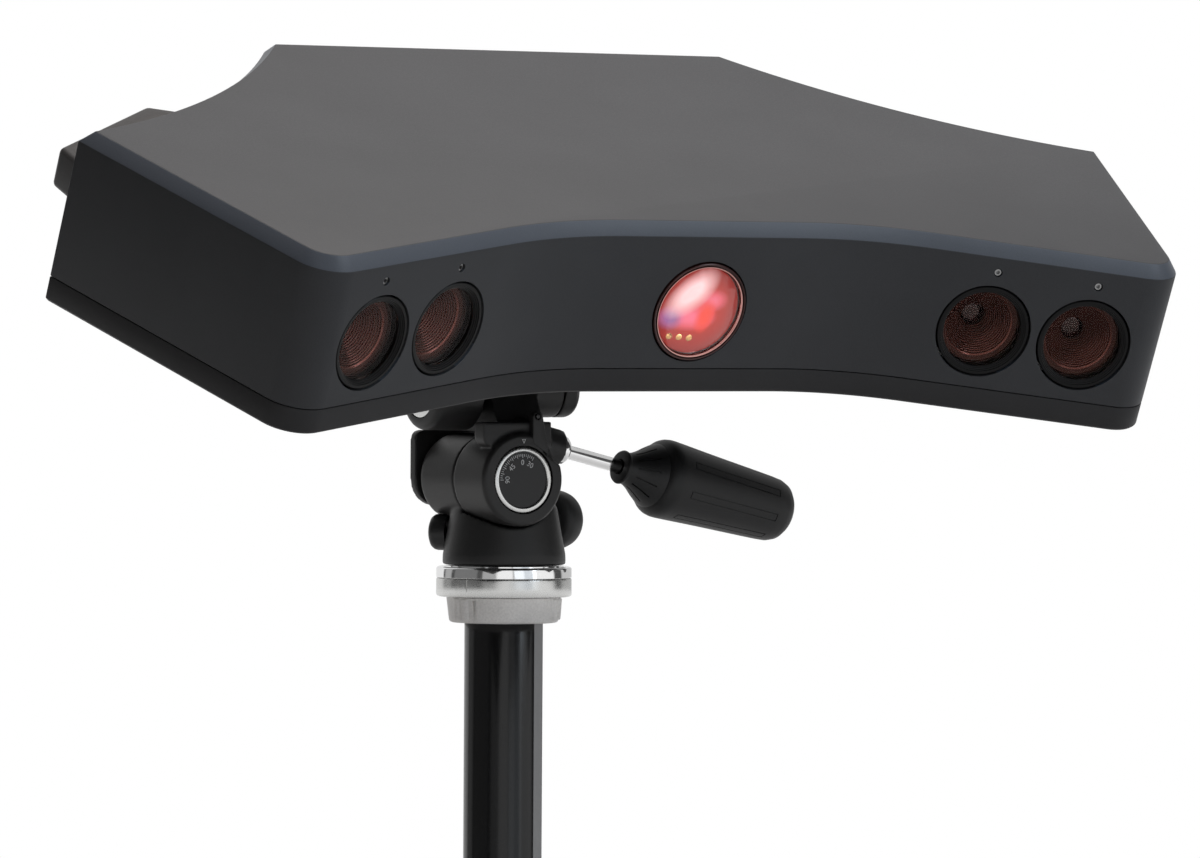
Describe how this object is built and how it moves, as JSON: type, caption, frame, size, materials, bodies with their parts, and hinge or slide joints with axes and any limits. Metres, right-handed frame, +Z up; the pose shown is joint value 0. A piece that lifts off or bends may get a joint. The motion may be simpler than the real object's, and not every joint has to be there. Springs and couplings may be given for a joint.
{
  "type": "structured-light 3-d scanner on a tripod head",
  "caption": "Structured-light 3-D scanner with toed-in camera lenses and a central projector, on a tripod head that pans, side-tilts and front-tilts on a column.",
  "frame": {"origin": "centre of the underside of the column's foot", "axes": "+Z up along the column, the lenses look towards -Y and down, +X to the right as seen from in front with -Y towards the viewer"},
  "size_m": [0.52, 0.2494, 0.4793],
  "materials": {
    "housing_grey": "satin",
    "tray_grey": "satin",
    "black_plastic": "satin",
    "black_metal": "satin",
    "cast_black": "satin",
    "satin_aluminium": "satin",
    "cast_aluminium": "matte",
    "polished_steel": "polished",
    "steel": "satin",
    "lens_glass": "gloss",
    "projector_glass": "gloss",
    "board_gold": "satin",
    "circuit_board": "satin",
    "column_gloss": "gloss",
    "rubber_black": "matte"
  },
  "bodies": {
    "stand": {"column_foot": "rubber_black", "column_tube": "column_gloss", "column_head": "cast_aluminium", "top_plate": "satin_aluminium", "base_disc": "polished_steel"},
    "pan_head": {"pan_body": "cast_black", "side_tilt_shaft": "steel", "dial_ring": "satin_aluminium", "dial_face": "black_metal"},
    "pan_lock": {"pan_lock_knob": "black_plastic"},
    "pan_friction": {"pan_friction_knob": "black_plastic"},
    "side_tilt": {"side_tilt_bracket": "cast_black"},
    "locking_handle": {"handle_rod": "polished_steel", "handle_ferrule": "black_plastic", "handle_grip": "rubber_black"},
    "front_tilt": {"tilt_carrier": "cast_black", "tilt_axle": "satin_aluminium", "tilt_washer": "black_plastic", "lever_screw": "steel", "quick_release_plate": "black_metal", "plate_screw": "steel", "mounting_block": "black_metal", "bottom_tray": "tray_grey", "top_cover": "housing_grey", "optical_bench": "satin_aluminium", "main_board": "circuit_board", "power_supply": "steel", "connector_panel": "black_metal", "power_inlet": "black_plastic", "data_socket": "steel", "switch_frame": "black_plastic", "carry_handle_left": "black_plastic", "carry_handle_right": "black_plastic", "projector_ring": "polished_steel", "projector_lens": "projector_glass", "projector_tube": "black_metal", "projector_body": "satin_aluminium", "projector_led_board": "board_gold", "fan_frame": "black_plastic", "camera_left_outer_filter_ring": "black_metal", "camera_left_outer_filter_glass": "lens_glass", "camera_left_outer_lens": "black_metal", "camera_left_outer_body": "satin_aluminium", "camera_left_inner_filter_ring": "black_metal", "camera_left_inner_filter_glass": "lens_glass", "camera_left_inner_lens": "black_metal", "camera_left_inner_body": "satin_aluminium", "camera_right_inner_filter_ring": "black_metal", "camera_right_inner_filter_glass": "lens_glass", "camera_right_inner_lens": "black_metal", "camera_right_inner_body": "satin_aluminium", "camera_right_outer_filter_ring": "black_metal", "camera_right_outer_filter_glass": "lens_glass", "camera_right_outer_lens": "black_metal", "camera_right_outer_body": "satin_aluminium"},
    "release_lever": {"quick_release_lever": "black_metal"},
    "power_switch": {"switch_rocker": "black_plastic"},
    "cooling_fan": {"fan_rotor": "black_plastic"}
  },
  "joints": [
    {"name": "pan", "type": "hinge", "parent": "stand", "child": "pan_head", "pos_m": [0, 0, 0.2522], "axis": [0, 0, 1], "continuous": true},
    {"name": "pan_lock_turn", "type": "hinge", "parent": "pan_head", "child": "pan_lock", "pos_m": [0.03148, 0.01529, 0.2705], "axis": [0.8996, 0.4368, 0], "range_deg": [0, 360]},
    {"name": "pan_friction_turn", "type": "hinge", "parent": "pan_head", "child": "pan_friction", "pos_m": [-0.01639, 0.01953, 0.2655], "axis": [-0.6428, 0.766, 0], "range_deg": [0, 360]},
    {"name": "side_tilt", "type": "hinge", "parent": "pan_head", "child": "side_tilt", "pos_m": [-0.008, 0, 0.2897], "axis": [0, -1, 0], "range_deg": [-30, 90]},
    {"name": "locking_handle_twist", "type": "hinge", "parent": "side_tilt", "child": "locking_handle", "pos_m": [0.0253, -0.014, 0.3013], "axis": [0.9709, 0.0611, -0.2317], "range_deg": [-90, 90]},
    {"name": "front_tilt", "type": "hinge", "parent": "side_tilt", "child": "front_tilt", "pos_m": [0, 0, 0.3286], "axis": [1, 0, 0], "range_deg": [-53.7, 33.3]},
    {"name": "release_lever_swing", "type": "hinge", "parent": "front_tilt", "child": "release_lever", "pos_m": [-0.033, -0.02184, 0.3485], "axis": [0, -0.402, 0.9157], "range_deg": [0, 60]},
    {"name": "switch_rock", "type": "hinge", "parent": "front_tilt", "child": "power_switch", "pos_m": [0.028, 0.01781, 0.44377], "axis": [1, 0, 0], "range_deg": [0, 12]},
    {"name": "fan_spin", "type": "hinge", "parent": "front_tilt", "child": "cooling_fan", "pos_m": [0, -0.05844, 0.41521], "axis": [0, 0.9157, 0.402], "continuous": true}
  ]
}
